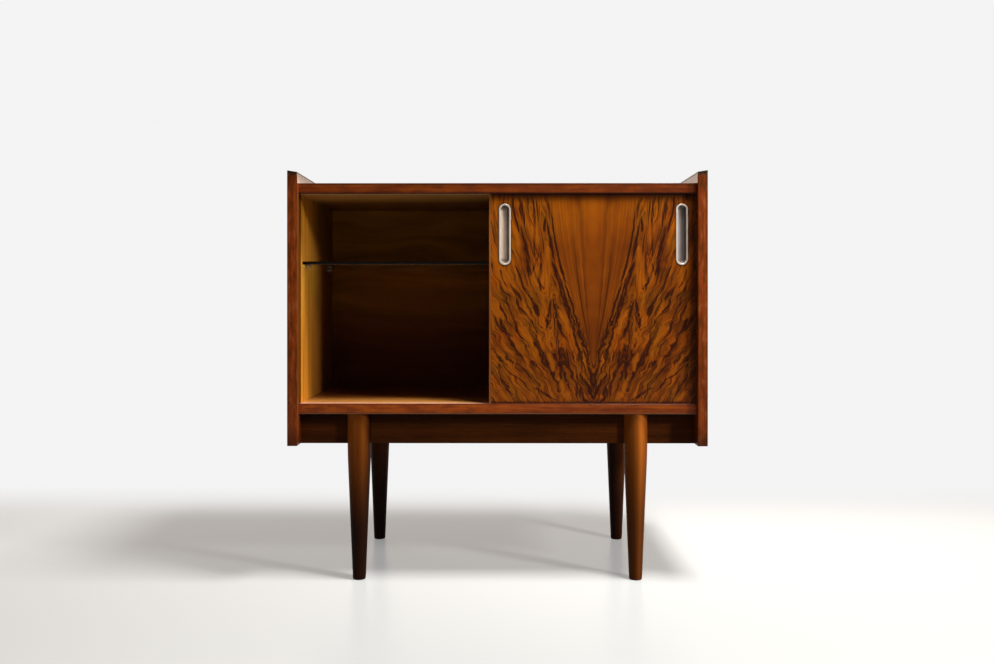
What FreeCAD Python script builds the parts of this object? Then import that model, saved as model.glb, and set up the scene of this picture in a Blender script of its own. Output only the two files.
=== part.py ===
import FreeCAD, Part
import math
import os

# Low bar cabinet with two sliding doors, a glass shelf and four turned legs.
# Millimetres, +Z up, front towards -Y. The origin is on the floor, under the middle of the cabinet.
# Depths are counted from the front edges of the sides, towards the back.

# Carcass
cabinet_width = 800.0
cabinet_depth = 400.0
leg_length = 322.0  # floor to the underside of the bottom panel
panel_thickness = 20.0  # top and bottom panels
opening_height = 403.0  # between the bottom and the top panel
side_thickness = 19.0
side_rise = 23.0  # sides above the top panel
side_drop = 59.0  # sides below the bottom panel
side_top_bevel = 3.0  # outer edge of a side stands this much above its inner edge
side_lipping_thickness = 6.0  # solid strip on top of a side, at its inner edge
arris_radius = 1.0  # eased edges of the solid wood in front
fillet_share = 0.4  # most of a thin piece that an eased edge may take
near = 1e-3  # within which an edge lies on a face
along_axis = 0.9  # least share of an edge's direction that counts as along an axis

# Front edges of the carcass
panel_setback = 14.0  # panels stand back from the front edges of the sides
bottom_lipping_round = 3.5  # lower front edge of the bottom panel
groove_wall = 4.0  # wood left behind the rear door's groove

# Doors and the grooves they slide in
door_thickness = 8.0
door_setback = 5.0  # front door behind the front edges of the panels
door_gap = 3.0  # between the two doors
door_overlap = 32.0  # of the closed doors, in the middle of the front
door_arris = 0.6
door_lipping_width = 4.0  # solid strips on the upright edges of a door
groove_clearance = 0.4  # on each face of a door
bottom_groove_depth = 4.5
top_groove_depth = 10.5  # deep enough to lift a door out
door_top_engagement = 5.0
door_lift_clearance = 0.3  # under a door in its groove
stile_channel_depth = 4.0  # takes the closing edge of a door
door_stop_clearance = 0.3

# Recessed finger pulls
pull_length = 118.0
pull_width = 23.0
pull_rim_width = 3.8
pull_rim_height = 0.8  # above the door's face
pull_rim_round = 0.5
pull_depth = 5.5  # of the recess, below the door's face
pull_wall = 0.7
pull_draft = 2.4  # the recess is this much narrower all round at its floor
pull_inset = 30.5  # centre of a pull to the upright edge of its door
pull_drop = 78.0  # centre of a pull below the ceiling of the cabinet
pull_pocket_clearance = 0.15

# Back panel
back_thickness = 4.0
back_rebate_depth = 9.0  # front of the back panel to the rear edges of the sides
back_rebate_width = 9.0
back_clearance = 0.5
nail_diameter = 1.6
nail_head_diameter = 3.6
nail_head_thickness = 0.8
nail_length = 22.0
nail_clearance = 0.05
nail_edge = 5.0  # nails in the sides, from the edges of the back panel
nail_inset_across = 40.0  # outermost nails of a row, from the inner faces of the sides
nail_inset_up = 25.0  # outermost nails of an upright row, from the panels
nails_across = 9
nails_up = 5

# Aprons under the bottom panel
apron_setback = 38.0  # front apron behind the front edges of the sides
apron_thickness = 18.0
glue_block_size = 24.0
glue_block_length = 70.0
glue_block_chamfer = 14.0
glue_blocks_per_apron = 3
glue_block_reach = 170.0  # centre of the outermost blocks from the middle

# Turned legs
leg_inset_side = 132.0  # leg axis from the outer face of a side
leg_inset_depth = 40.0  # leg axis from the front or rear edges of the sides
leg_top_diameter = 46.0
leg_foot_diameter = 25.0
leg_taper_length = 252.0
leg_blend_length = 45.0  # most that the blend reaches, each way from the end of the taper
foot_round = 2.5

# Leg screws, driven through the aprons
screw_diameter = 5.0
screw_head_diameter = 9.0
screw_tip_cover = 6.0  # wood left in front of a screw
screw_spacing = 28.0
screw_clearance = 0.1

# Dowels
dowel_diameter = 8.0
dowel_in_side = 12.0
dowel_in_panel = 18.0
dowel_clearance = 0.05
blind_gap = 0.5  # left past the end of a dowel or pin in its hole
dowels_per_joint = 4
dowel_inset = 40.0  # outermost dowels from the ends of a panel
dowels_per_apron_end = 2
apron_dowel_spacing = 30.0

# Glass shelf and its pins
shelf_height = 268.0  # underside above the cabinet floor
shelf_thickness = 6.0
shelf_side_clearance = 1.0
shelf_front_gap = 8.0  # behind the rear door
shelf_back_gap = 5.0
shelf_arris = 0.6
pin_diameter = 5.0
pin_in_side = 12.0
pin_head_diameter = 8.0
pin_head_length = 10.0
pin_flat = 1.0  # depth of the flat seat on a pin's head
pin_inset_front = 34.0  # pins from the front edge of the shelf
pin_inset_back = 57.0
pin_clearance = 0.05

# Places that follow from the sizes above
half_width = cabinet_width / 2
inner_half = half_width - side_thickness
bottom_under = leg_length
bottom_top = bottom_under + panel_thickness
ceiling = bottom_top + opening_height
top_top = ceiling + panel_thickness
side_bottom = bottom_under - side_drop
side_top = top_top + side_rise
side_lipping_under = side_top - side_top_bevel - side_lipping_thickness
front_door_face = panel_setback + door_setback
front_door_back = front_door_face + door_thickness
rear_door_face = front_door_back + door_gap
rear_door_back = rear_door_face + door_thickness
channel_front = front_door_face - groove_clearance
channel_back = rear_door_back + groove_clearance
lipping_back = channel_front  # a lipping is also the front wall of the front door's groove
rail_back = channel_back + groove_wall
stile_back = channel_back + groove_wall
back_face = cabinet_depth - back_rebate_depth
groove_floor = bottom_top - bottom_groove_depth
groove_ceiling = ceiling + top_groove_depth
door_bottom = groove_floor + door_lift_clearance
door_top = ceiling + door_top_engagement
door_closed_reach = inner_half + stile_channel_depth - door_stop_clearance
door_width = door_closed_reach + door_overlap / 2
door_left = -door_overlap / 2  # both doors at rest are slid to the right
door_right = door_left + door_width
shelf_under = bottom_top + shelf_height
shelf_front = rear_door_back + shelf_front_gap
shelf_back = back_face - shelf_back_gap
leg_x = half_width - leg_inset_side


def at_depth(depth):
    return depth - cabinet_depth / 2


def box(x0, x1, depth0, depth1, z0, z1):
    corner = FreeCAD.Vector(x0, at_depth(depth0), z0)
    return Part.makeBox(x1 - x0, depth1 - depth0, z1 - z0, corner)


def rod(radius, start, end):
    axis = end - start
    return Part.makeCylinder(radius, axis.Length, start, axis)


def spread(first, last, count):
    step = (last - first) / (count - 1)
    return [first + step * i for i in range(count)]


def turned_round(shape):
    """The same shape turned half a turn about the upright axis of the cabinet."""
    turned = shape.copy()
    turned.rotate(FreeCAD.Vector(0, 0, 0), FreeCAD.Vector(0, 0, 1), 180)
    return turned


def mirrored_sideways(shape):
    return shape.mirror(FreeCAD.Vector(0, 0, 0), FreeCAD.Vector(1, 0, 0))


def mirrored_back(shape):
    return shape.mirror(FreeCAD.Vector(0, 0, 0), FreeCAD.Vector(0, 1, 0))


def limited(radius, wall):
    """A fillet's radius, held to what its wall can take."""
    return min(radius, fillet_share * wall)


def ease_edges(shape, radius, chosen):
    """Rounds the straight edges of a shape that the test picks out by their middle and direction."""
    edges = []
    for edge in shape.Edges:
        if not isinstance(edge.Curve, Part.Line):
            continue
        along = edge.tangentAt(edge.FirstParameter)
        if chosen(edge.CenterOfMass, along):
            edges.append(edge)
    return shape.makeFillet(radius, edges)


def holes_for(rods, clearance):
    """One compound of the rods' shapes, grown by the clearance, for cutting."""
    return Part.makeCompound([rod(r + clearance, a, b) for r, a, b in rods])


# Dowels and nails are listed first, because the panels are drilled for them

def carcass_dowels():
    """Dowels between the panels and the left side, as (radius, start, end)."""
    rods = []
    first = rail_back + dowel_inset
    last = back_face - dowel_inset
    for z in (bottom_under + panel_thickness / 2, ceiling + panel_thickness / 2):
        for depth in spread(first, last, dowels_per_joint):
            y = at_depth(depth)
            start = FreeCAD.Vector(-inner_half - dowel_in_side, y, z)
            end = FreeCAD.Vector(-inner_half + dowel_in_panel, y, z)
            rods.append((dowel_diameter / 2, start, end))
    return rods


def apron_dowels():
    """Dowels between the aprons and the left side, as (radius, start, end)."""
    rods = []
    middle_z = (side_bottom + bottom_under) / 2
    first = middle_z - apron_dowel_spacing / 2
    front_y = at_depth(apron_setback + apron_thickness / 2)
    for y in (front_y, -front_y):
        for z in spread(first, first + apron_dowel_spacing, dowels_per_apron_end):
            start = FreeCAD.Vector(-inner_half - dowel_in_side, y, z)
            end = FreeCAD.Vector(-inner_half + dowel_in_panel, y, z)
            rods.append((dowel_diameter / 2, start, end))
    return rods


def pin_places():
    """(depth, height) of the pin axes; a pin's flat carries the glass."""
    axis_z = shelf_under - (pin_head_diameter / 2 - pin_flat)
    return [(shelf_front + pin_inset_front, axis_z), (shelf_back - pin_inset_back, axis_z)]


def back_nails():
    """Nails through the back panel, as (radius, start, end), heads not included."""
    half = inner_half + back_rebate_width - back_clearance
    tip = at_depth(back_face + back_thickness - nail_length)
    rear = at_depth(back_face + back_thickness)
    places = []
    across = inner_half - nail_inset_across
    for x in spread(-across, across, nails_across):
        places.append((x, bottom_under + panel_thickness / 2))
        places.append((x, ceiling + panel_thickness / 2))
    for z in spread(bottom_top + nail_inset_up, ceiling - nail_inset_up, nails_up):
        places.append((half - nail_edge, z))
        places.append((nail_edge - half, z))
    rods = []
    for x, z in places:
        rods.append((nail_diameter / 2, FreeCAD.Vector(x, tip, z), FreeCAD.Vector(x, rear, z)))
    return rods


# Sides

def side_slice(depth0, depth1):
    """Part of the left side, under the strip on its top."""
    return box(-half_width, -inner_half, depth0, depth1, side_bottom, side_lipping_under)


def eased_side(piece, end_y, joint_y):
    """A slice of a side with its showing edges eased: those of its end face and those underneath."""
    def shows(middle, along):
        on_end = abs(middle.y - end_y) < near and middle.z < side_lipping_under - near
        underneath = abs(middle.z - side_bottom) < near and abs(middle.y - joint_y) > near
        return on_end or underneath

    return ease_edges(piece, limited(arris_radius, side_thickness), shows)


def side_top_lipping():
    """Solid strip along the top of the left side, with its top bevelled towards the inside."""
    outer = -half_width
    inner = -inner_half
    front = at_depth(0)
    points = [
        FreeCAD.Vector(outer, front, side_lipping_under),
        FreeCAD.Vector(inner, front, side_lipping_under),
        FreeCAD.Vector(inner, front, side_top - side_top_bevel),
        FreeCAD.Vector(outer, front, side_top),
    ]
    section = Part.Face(Part.makePolygon(points + points[:1]))
    strip = section.extrude(FreeCAD.Vector(0, cabinet_depth, 0))
    return ease_edges(
        strip, limited(arris_radius, side_lipping_thickness),
        lambda middle, along: middle.z > side_lipping_under + near,
    )


def side_panel():
    """Left side behind its solid front stile, rebated for the back and drilled."""
    panel = side_slice(stile_back, cabinet_depth)
    panel = eased_side(panel, at_depth(cabinet_depth), at_depth(stile_back))
    rebate = box(
        -inner_half - back_rebate_width, -inner_half, back_face, cabinet_depth, bottom_under, top_top
    )
    pins = []
    for depth, z in pin_places():
        wall = FreeCAD.Vector(-inner_half, at_depth(depth), z)
        blind = FreeCAD.Vector(-inner_half - pin_in_side - blind_gap, at_depth(depth), z)
        pins.append((pin_diameter / 2, blind, wall))
    panel = panel.cut(rebate)
    panel = panel.cut(holes_for(lengthened(carcass_dowels() + apron_dowels()), dowel_clearance))
    panel = panel.cut(holes_for(pins, pin_clearance))
    return panel.cut(holes_for(back_nails(), nail_clearance))


def lengthened(rods):
    """The rods with a small gap added at each end, for glue."""
    longer = []
    for radius, start, end in rods:
        unit = (end - start) / (end - start).Length
        longer.append((radius, start - unit * blind_gap, end + unit * blind_gap))
    return longer


def front_stile():
    """Solid front part of the left side, with the channel that takes the closing edge of a door."""
    stile = eased_side(side_slice(0, stile_back), at_depth(0), at_depth(stile_back))
    channel = box(
        -inner_half - stile_channel_depth, -inner_half, channel_front, channel_back,
        groove_floor, groove_ceiling,
    )
    stile = stile.cut(channel)
    return stile.cut(holes_for(lengthened(apron_dowels()), dowel_clearance))


# Top and bottom

def carcass_panel(z0):
    panel = box(-inner_half, inner_half, rail_back, back_face, z0, z0 + panel_thickness)
    left = lengthened(carcass_dowels())
    right = [(r, turned_sideways(a), turned_sideways(b)) for r, a, b in left]
    panel = panel.cut(holes_for(left + right, dowel_clearance))
    return panel.cut(holes_for(back_nails(), nail_clearance))


def turned_sideways(point):
    return FreeCAD.Vector(-point.x, point.y, point.z)


def track_rail(z0, groove_z0, groove_z1):
    """Hardwood rail along the front of a panel, with a groove for each door."""
    rail = box(-inner_half, inner_half, lipping_back, rail_back, z0, z0 + panel_thickness)
    for face in (front_door_face, rear_door_face):
        groove = box(
            -inner_half, inner_half, face - groove_clearance, face + door_thickness + groove_clearance,
            groove_z0, groove_z1,
        )
        rail = rail.cut(groove)
    return rail


def lipping(z0, lower_round):
    """Solid strip on the front of a panel, with its lower front edge rounded by its own radius."""
    strip = box(-inner_half, inner_half, panel_setback, lipping_back, z0, z0 + panel_thickness)
    front = at_depth(panel_setback)
    thickness = lipping_back - panel_setback
    middle_z = z0 + panel_thickness / 2

    def on_front(middle, along):
        return abs(middle.y - front) < near and abs(along.x) > along_axis

    strip = ease_edges(
        strip, limited(lower_round, 2 * thickness),
        lambda middle, along: on_front(middle, along) and middle.z < middle_z,
    )
    return ease_edges(
        strip, limited(arris_radius, thickness),
        lambda middle, along: on_front(middle, along) and middle.z > middle_z,
    )


# Back

def back_panel():
    half = inner_half + back_rebate_width - back_clearance
    panel = box(
        -half, half, back_face, back_face + back_thickness,
        bottom_under + back_clearance, top_top - back_clearance,
    )
    return panel.cut(holes_for(back_nails(), nail_clearance))


def nails_with_heads():
    nails = []
    for radius, start, end in back_nails():
        head_end = end + FreeCAD.Vector(0, nail_head_thickness, 0)
        nails.append(rod(radius, start, end).fuse(rod(nail_head_diameter / 2, end, head_end)))
    return Part.makeCompound(nails)


# Legs and aprons

def leg_profile():
    """Half section of a leg in the XZ plane: rounded foot, straight taper, blend, straight top."""
    foot = leg_foot_diameter / 2
    top = leg_top_diameter / 2
    slope = (top - foot) / leg_taper_length

    def on_taper(z):
        return FreeCAD.Vector(foot + slope * z, 0, z)

    blend = min(leg_blend_length, (leg_length - leg_taper_length) / 2)
    corner = on_taper(leg_taper_length)
    blend_start = on_taper(leg_taper_length - blend)
    blend_end = corner + FreeCAD.Vector(0, 0, blend)
    half_turn = math.atan(slope) / 2
    sagitta = blend * math.tan(half_turn) / 2
    blend_middle = corner - FreeCAD.Vector(sagitta, 0, 0)
    round_start = FreeCAD.Vector(foot - foot_round, 0, 0)
    round_end = on_taper(foot_round)
    bulge = foot_round * (1 - math.sqrt(0.5))
    round_middle = FreeCAD.Vector(foot - bulge, 0, bulge)
    edges = [
        Part.LineSegment(FreeCAD.Vector(0, 0, 0), round_start).toShape(),
        Part.Arc(round_start, round_middle, round_end).toShape(),
        Part.LineSegment(round_end, blend_start).toShape(),
        Part.Arc(blend_start, blend_middle, blend_end).toShape(),
        Part.LineSegment(blend_end, FreeCAD.Vector(top, 0, leg_length)).toShape(),
        Part.LineSegment(FreeCAD.Vector(top, 0, leg_length), FreeCAD.Vector(0, 0, leg_length)).toShape(),
        Part.LineSegment(FreeCAD.Vector(0, 0, leg_length), FreeCAD.Vector(0, 0, 0)).toShape(),
    ]
    return Part.Face(Part.Wire(edges))


def leg_screws():
    """Screws from behind the front apron into the left leg, as (start, end) along the shank."""
    middle_z = (side_bottom + bottom_under) / 2
    rear = at_depth(apron_setback + apron_thickness)
    tip = at_depth(leg_inset_depth - leg_top_diameter / 2 + screw_tip_cover)
    places = []
    for z in (middle_z - screw_spacing / 2, middle_z + screw_spacing / 2):
        places.append((FreeCAD.Vector(-leg_x, rear, z), FreeCAD.Vector(-leg_x, tip, z)))
    return places


def screw_with_head(start, end, clearance=0.0):
    """A countersunk screw whose head is flush with the rear of the apron."""
    unit = (end - start) / (end - start).Length
    shank_radius = screw_diameter / 2 + clearance
    head_radius = screw_head_diameter / 2 + clearance
    sink = (screw_head_diameter - screw_diameter) / 2
    shank = rod(shank_radius, start, end + unit * clearance)
    return shank.fuse(Part.makeCone(head_radius, shank_radius, sink, start, unit))


def screw_holes():
    return Part.makeCompound([screw_with_head(a, b, screw_clearance) for a, b in leg_screws()])


def leg_front_left():
    """Turned leg, cut flat over the height of the apron that it is screwed to."""
    leg = leg_profile().revolve(FreeCAD.Vector(0, 0, 0), FreeCAD.Vector(0, 0, 1), 360)
    leg.translate(FreeCAD.Vector(-leg_x, at_depth(leg_inset_depth), 0))
    seat = box(
        -leg_x - leg_top_diameter, -leg_x + leg_top_diameter,
        apron_setback, apron_setback + leg_top_diameter * 2,
        side_bottom, bottom_under + panel_thickness,
    )
    return leg.cut(seat).cut(screw_holes())


def front_apron():
    apron = box(
        -inner_half, inner_half, apron_setback, apron_setback + apron_thickness, side_bottom, bottom_under
    )
    low = side_bottom
    apron = ease_edges(
        apron, limited(arris_radius, apron_thickness),
        lambda middle, along: abs(middle.z - low) < near and abs(along.x) > along_axis,
    )
    front_dowels = [d for d in apron_dowels() if d[1].y < 0]
    left = lengthened(front_dowels)
    right = [(r, turned_sideways(a), turned_sideways(b)) for r, a, b in left]
    apron = apron.cut(holes_for(left + right, dowel_clearance))
    return apron.cut(screw_holes()).cut(mirrored_sideways(screw_holes()))


def glue_blocks():
    """Blocks in the corners between the aprons and the bottom panel."""
    depth0 = apron_setback + apron_thickness
    blocks = []
    for x in spread(-glue_block_reach, glue_block_reach, glue_blocks_per_apron):
        block = box(
            x - glue_block_length / 2, x + glue_block_length / 2,
            depth0, depth0 + glue_block_size, bottom_under - glue_block_size, bottom_under,
        )
        chamfer = limited(glue_block_chamfer, 2 * glue_block_size)
        blocks.append(block.makeChamfer(chamfer, [lower_rear_edge(block)]))
    return Part.makeCompound(blocks + [mirrored_back(b) for b in blocks])


def lower_rear_edge(block):
    """The long edge of a block that faces away from both the panel and the apron."""
    return min(block.Edges, key=lambda e: e.CenterOfMass.z - e.CenterOfMass.y)


# Shelf

def glass_shelf():
    half = inner_half - shelf_side_clearance
    sheet = box(-half, half, shelf_front, shelf_back, shelf_under, shelf_under + shelf_thickness)
    return sheet.makeChamfer(limited(shelf_arris, shelf_thickness), sheet.Edges)


def shelf_pin(depth, axis_z):
    """Pin in the left side; the flat on its head is level with the underside of the glass."""
    wall = FreeCAD.Vector(-inner_half, at_depth(depth), axis_z)
    stem = rod(pin_diameter / 2, wall - FreeCAD.Vector(pin_in_side, 0, 0), wall)
    head = rod(pin_head_diameter / 2, wall, wall + FreeCAD.Vector(pin_head_length, 0, 0))
    radius = pin_head_diameter
    above = box(
        wall.x - radius, wall.x + pin_head_length + radius, depth - radius, depth + radius,
        shelf_under, shelf_under + radius,
    )
    return stem.fuse(head.cut(above))


def shelf_pins():
    left = [shelf_pin(depth, z) for depth, z in pin_places()]
    return Part.makeCompound(left + [mirrored_sideways(p) for p in left])


# Doors and pulls

def stadium(length, width, centre):
    """Upright outline with round ends, in a plane that faces the front."""
    radius = width / 2
    straight = length / 2 - radius
    up = FreeCAD.Vector(0, 0, 1)
    side = FreeCAD.Vector(radius, 0, 0)
    top = centre + up * straight
    low = centre - up * straight
    edges = [
        Part.LineSegment(low + side, top + side).toShape(),
        Part.Arc(top + side, top + up * radius, top - side).toShape(),
        Part.LineSegment(top - side, low - side).toShape(),
        Part.Arc(low - side, low - up * radius, low + side).toShape(),
    ]
    return Part.Wire(edges)


def pull_centres(face_depth):
    z = ceiling - pull_drop
    y = at_depth(face_depth)
    return [
        FreeCAD.Vector(door_left + pull_inset, y, z),
        FreeCAD.Vector(door_right - pull_inset, y, z),
    ]


def recess_solid(centre, outset, floor_depth, mouth_height):
    """Tapered trough with round ends, from above the door's face down to the recess's floor."""
    mouth_length = pull_length - 2 * pull_rim_width + 2 * outset
    mouth_width = pull_width - 2 * pull_rim_width + 2 * outset
    mouth = stadium(mouth_length, mouth_width, centre)
    floor_at = centre + FreeCAD.Vector(0, floor_depth, 0)
    floor = stadium(mouth_length - 2 * pull_draft, mouth_width - 2 * pull_draft, floor_at)
    trough = Part.makeLoft([mouth, floor], True, True)
    if mouth_height > 0:
        collar = Part.Face(mouth).extrude(FreeCAD.Vector(0, -mouth_height, 0))
        trough = trough.fuse(collar).removeSplitter()
    return trough


def finger_pull(centre):
    """Pressed metal cup: a flat rim on the door's face round a tapered trough."""
    rim_wire = stadium(pull_length, pull_width, centre)
    rim = Part.Face(rim_wire).extrude(FreeCAD.Vector(0, -pull_rim_height, 0))
    rim_edges = [e for e in rim.Edges if abs(e.CenterOfMass.y - (centre.y - pull_rim_height)) < near]
    rim = rim.makeFillet(limited(pull_rim_round, 2 * pull_rim_height), rim_edges)
    cup = recess_solid(centre, pull_wall, pull_depth + pull_wall, 0)
    hollow = recess_solid(centre, 0, pull_depth, 2 * pull_rim_height)
    return rim.fuse(cup).removeSplitter().cut(hollow)


def door_slice(face_depth, x0, x1):
    return box(x0, x1, face_depth, face_depth + door_thickness, door_bottom, door_top)


def door_panel(face_depth):
    """Door between its two lippings, with a pocket for each pull."""
    door = door_slice(face_depth, door_left + door_lipping_width, door_right - door_lipping_width)
    grown = 2 * (pull_wall + pull_pocket_clearance - pull_rim_width)
    deep = pull_depth + pull_wall + pull_pocket_clearance
    for centre in pull_centres(face_depth):
        pocket = Part.Face(stadium(pull_length + grown, pull_width + grown, centre))
        door = door.cut(pocket.extrude(FreeCAD.Vector(0, deep, 0)))
    return door


def door_lippings(face_depth):
    """Solid strips with eased outer edges, one on each upright edge of a door."""
    left = door_slice(face_depth, door_left, door_left + door_lipping_width)
    right = door_slice(face_depth, door_right - door_lipping_width, door_right)
    radius = limited(door_arris, door_lipping_width)
    strips = []
    for strip, outer in ((left, door_left), (right, door_right)):
        strips.append(ease_edges(
            strip, radius,
            lambda middle, along: abs(middle.x - outer) < near and abs(along.z) > along_axis,
        ))
    return Part.makeCompound(strips)


def rods_on_both_sides(rods):
    left = [rod(r, a, b) for r, a, b in rods]
    return Part.makeCompound(left + [mirrored_sideways(s) for s in left])


def all_leg_screws():
    left = [screw_with_head(a, b) for a, b in leg_screws()]
    front = left + [mirrored_sideways(s) for s in left]
    return Part.makeCompound(front + [mirrored_back(s) for s in front])


def build():
    side = side_panel()
    stile = front_stile()
    strip = side_top_lipping()
    leg = leg_front_left()
    apron = front_apron()
    nodes = {
        "left_side_panel": side,
        "right_side_panel": mirrored_sideways(side),
        "left_front_stile": stile,
        "right_front_stile": mirrored_sideways(stile),
        "left_side_top_lipping": strip,
        "right_side_top_lipping": mirrored_sideways(strip),
        "top_panel": carcass_panel(ceiling),
        "top_track_rail": track_rail(ceiling, ceiling, groove_ceiling),
        "top_lipping": lipping(ceiling, arris_radius),
        "bottom_panel": carcass_panel(bottom_under),
        "bottom_track_rail": track_rail(bottom_under, groove_floor, bottom_top),
        "bottom_lipping": lipping(bottom_under, bottom_lipping_round),
        "back_panel": back_panel(),
        "back_panel_nails": nails_with_heads(),
        "front_apron": apron,
        "rear_apron": mirrored_back(apron),
        "apron_glue_blocks": glue_blocks(),
        "leg_front_left": leg,
        "leg_front_right": mirrored_sideways(leg),
        "leg_rear_left": mirrored_back(leg),
        "leg_rear_right": turned_round(leg),
        "leg_screws": all_leg_screws(),
        "carcass_dowels": rods_on_both_sides(carcass_dowels()),
        "apron_dowels": rods_on_both_sides(apron_dowels()),
        "glass_shelf": glass_shelf(),
        "shelf_pins": shelf_pins(),
    }
    for name, face in (("right", front_door_face), ("left", rear_door_face)):
        nodes[name + "_door_panel"] = door_panel(face)
        nodes[name + "_door_lippings"] = door_lippings(face)
        left_pull, right_pull = [finger_pull(centre) for centre in pull_centres(face)]
        nodes[name + "_door_pull_left"] = left_pull
        nodes[name + "_door_pull_right"] = right_pull
    return nodes


os.makedirs("parts", exist_ok=True)
for node, shape in build().items():
    shape.exportStep(os.path.join("parts", node + ".step"))
    state = "valid" if shape.isValid() else "not valid"
    print(node, len(shape.Solids), "solids,", round(shape.Volume), "mm3,", state)
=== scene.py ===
import math
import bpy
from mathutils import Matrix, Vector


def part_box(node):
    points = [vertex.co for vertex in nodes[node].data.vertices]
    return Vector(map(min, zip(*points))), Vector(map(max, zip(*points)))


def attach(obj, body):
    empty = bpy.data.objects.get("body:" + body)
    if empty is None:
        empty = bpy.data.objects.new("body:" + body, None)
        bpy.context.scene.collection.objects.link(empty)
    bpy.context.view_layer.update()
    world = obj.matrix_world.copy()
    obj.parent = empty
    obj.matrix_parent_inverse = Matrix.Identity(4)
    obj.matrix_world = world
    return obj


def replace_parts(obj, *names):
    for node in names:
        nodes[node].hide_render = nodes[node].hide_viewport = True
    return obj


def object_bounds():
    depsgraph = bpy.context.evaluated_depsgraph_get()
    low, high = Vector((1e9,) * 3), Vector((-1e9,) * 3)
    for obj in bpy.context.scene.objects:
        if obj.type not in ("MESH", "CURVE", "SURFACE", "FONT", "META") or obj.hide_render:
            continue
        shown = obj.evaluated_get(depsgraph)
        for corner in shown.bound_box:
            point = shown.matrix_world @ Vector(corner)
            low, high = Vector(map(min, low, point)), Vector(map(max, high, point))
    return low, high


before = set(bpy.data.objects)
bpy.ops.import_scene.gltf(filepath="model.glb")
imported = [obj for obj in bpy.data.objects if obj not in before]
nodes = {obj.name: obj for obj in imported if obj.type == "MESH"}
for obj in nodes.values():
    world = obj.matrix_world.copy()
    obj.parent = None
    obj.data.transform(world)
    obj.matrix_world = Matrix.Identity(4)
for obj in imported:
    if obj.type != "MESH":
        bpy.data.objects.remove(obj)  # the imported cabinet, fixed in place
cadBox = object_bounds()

from types import SimpleNamespace
import bpy
import numpy as np
from mathutils import Vector

perMetre = 1000.0  # the finishes are worked out in millimetres
noiseMean = 0.5  # noise runs from 0 to 1 around this
softNoise, brokenNoise = 1.0, 3.0  # its detail, where it isn't the usual 2
print("frame loaded:", len(nodes), "nodes")


# Shader arithmetic

def mathNode(operation):
    # two methods that add one Math node: this operation on a shade and another value, and the other way round
    def onward(self, other=0.0):
        return self.node("ShaderNodeMath", {0: self, 1: other}, {"operation": operation})

    def turned(self, other):
        return self.node("ShaderNodeMath", {0: other, 1: self}, {"operation": operation})

    return onward, turned


class Shade:
    # One output socket of a node tree; arithmetic on it adds Math nodes to that tree.
    def __init__(self, tree, socket=None, material=None):
        self.tree = tree
        self.socket = socket
        self.material = material

    def node(self, kind, sockets=None, settings=None, out=0):
        # Any node: its settings first, then a value or a link for each socket; out picks what comes back.
        made = self.tree.nodes.new(kind)
        for key, value in (settings or {}).items():
            if key == "stops":
                fillRamp(made.color_ramp, value)
            elif key == "curve":
                fillCurve(made.mapping, value)
            else:
                setattr(made, key, value)
        for key, value in (sockets or {}).items():
            if isinstance(value, Shade):
                self.tree.links.new(value.socket, made.inputs[key])
            else:
                made.inputs[key].default_value = value
        if isinstance(out, tuple):
            return [Shade(self.tree, made.outputs[key]) for key in out]
        return Shade(self.tree, made.outputs[out])

    __add__, __radd__ = mathNode("ADD")
    __sub__, __rsub__ = mathNode("SUBTRACT")
    __mul__, __rmul__ = mathNode("MULTIPLY")
    __truediv__, __rtruediv__ = mathNode("DIVIDE")
    __pow__, __rpow__ = mathNode("POWER")
    __abs__ = mathNode("ABSOLUTE")[0]
    least = mathNode("MINIMUM")[0]
    most = mathNode("MAXIMUM")[0]

    def smooth(self, low, high, share=1.0):
        # 0 at low, the share at high, an S-curve between; falls instead where low is above high
        sockets = {"Value": self, "From Min": low, "From Max": high, "To Max": share}
        return self.node("ShaderNodeMapRange", sockets, {"interpolation_type": "SMOOTHSTEP"})

    def bell(self, centre, reach, share=1.0):
        # the share at the centre, falling to 0 at that reach on both sides
        return abs(self - centre).smooth(reach, 0.0, share)

    def mix(self, first, second):
        # colour: first where this value is 0, second where it is 1
        return self.node("ShaderNodeMix", {0: self, 6: first, 7: second}, {"data_type": "RGBA"}, 2)

    def ramp(self, places, colours):
        # colour picked by this value among colours at these places
        return self.node("ShaderNodeValToRGB", {0: self}, {"stops": list(zip(places, colours))})

    def curve(self, stops):
        # this value carried through a smooth line of (in, out) stops
        return self.node("ShaderNodeFloatCurve", {"Value": self}, {"curve": stops})

    def noise(self, place, scales, detail=2.0, roughness=0.5):
        # smooth noise between 0 and 1, around 0.5, of three values, each times how often it changes along it
        scaled = {axis: value * scale for axis, (value, scale) in enumerate(zip(place, scales))}
        point = self.node("ShaderNodeCombineXYZ", scaled)
        sockets = {"Vector": point, "Scale": 1.0, "Detail": detail, "Roughness": roughness}
        return self.node("ShaderNodeTexNoise", sockets)

    def relief(self, height, strength, distance):
        # the surface's normal, tilted by the slope of a height
        return self.node("ShaderNodeBump", {"Height": height, "Strength": strength, "Distance": distance})

    def principled(self, sockets):
        # one general surface with these sockets
        return self.node("ShaderNodeBsdfPrincipled", sockets)

    def between(self, first, second):
        # surface: first where this value is 0, second where it is 1
        return self.node("ShaderNodeMixShader", {0: self, 1: first, 2: second})

    def surfaced(self, surface):
        # the material, with this as its surface
        self.node("ShaderNodeOutputMaterial", {"Surface": surface}, out=())
        return self.material


def fillRamp(ramp, stops):
    # stops are (place, colour) from left to right
    while len(ramp.elements) < len(stops):
        ramp.elements.new(1.0)
    for element, (place, colour) in zip(ramp.elements, stops):
        element.position = place
        element.color = colour


def fillCurve(mapping, stops):
    # stops are (in, out) between 0 and 1, joined smoothly
    curve = mapping.curves[0]
    while len(curve.points) < len(stops):
        curve.points.new(0.5, 0.5)
    for point, place in zip(curve.points, stops):
        point.location = place
    mapping.update()


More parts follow.
